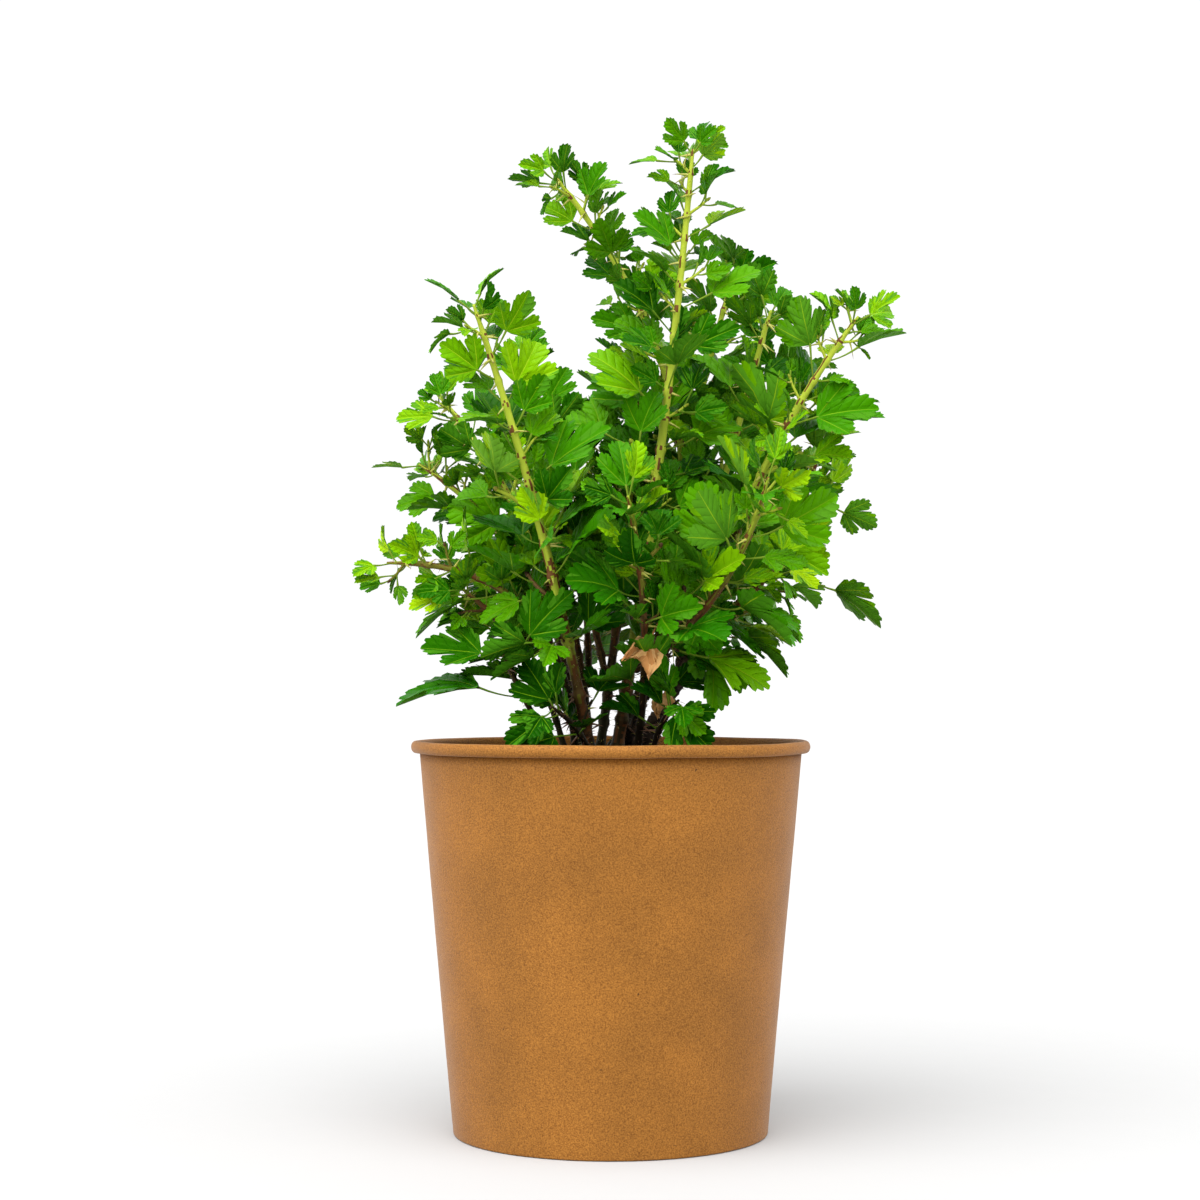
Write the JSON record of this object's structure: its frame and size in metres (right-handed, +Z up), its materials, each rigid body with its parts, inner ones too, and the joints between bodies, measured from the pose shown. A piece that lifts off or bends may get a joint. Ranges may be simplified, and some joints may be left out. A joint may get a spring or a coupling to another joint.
{
  "type": "potted gooseberry bush",
  "caption": "Young thorny fruit bush with many upright leafy canes in a tapered brown paper pot filled with soil.",
  "frame": {"origin": "centre of the pot's flat underside, at ground level", "axes": "+Z up along the pot and the plant's height; -Y towards the viewer of the picture, the plant's front; +X to the viewer's right"},
  "size_m": [0.2637, 0.24, 0.4938],
  "materials": {
    "kraft_paper": "matt brown kraft paper with fine fibres",
    "potting_soil": "dark moist crumbly potting soil",
    "bark": "rough dark brown bark",
    "leaf": "satin green leaves and yellow-green young canes"
  },
  "bodies": {
    "root": {"foliage_back_far": "leaf", "foliage_back_left": "leaf", "foliage_back_middle": "leaf", "foliage_back_right": "leaf", "foliage_back_top": "leaf", "foliage_centre": "leaf", "foliage_front_left": "leaf", "foliage_front_middle": "leaf", "foliage_front_right": "leaf", "foliage_left_inner": "leaf", "foliage_left_low": "leaf", "foliage_left_mid": "leaf", "foliage_left_shoot": "leaf", "foliage_left_upper": "leaf", "foliage_low_front": "leaf", "foliage_low_left": "leaf", "foliage_low_right": "leaf", "foliage_mid_right": "leaf", "foliage_right": "leaf", "foliage_right_back": "leaf", "foliage_right_low": "leaf", "foliage_right_outer": "leaf", "foliage_tall": "leaf", "pot": "kraft_paper", "soil": "potting_soil", "stem_back_far": "bark", "stem_back_left": "bark", "stem_back_middle": "bark", "stem_back_right": "bark", "stem_back_top": "bark", "stem_centre": "bark", "stem_front_left": "bark", "stem_front_middle": "bark", "stem_front_right": "bark", "stem_left_inner": "bark", "stem_left_low": "bark", "stem_left_mid": "bark", "stem_left_shoot": "bark", "stem_left_upper": "bark", "stem_low_front": "bark", "stem_low_left": "bark", "stem_low_right": "bark", "stem_mid_right": "bark", "stem_old_middle": "bark", "stem_old_right": "bark", "stem_right": "bark", "stem_right_back": "bark", "stem_right_low": "bark", "stem_right_outer": "bark", "stem_tall": "bark"}
  },
  "joints": []
}
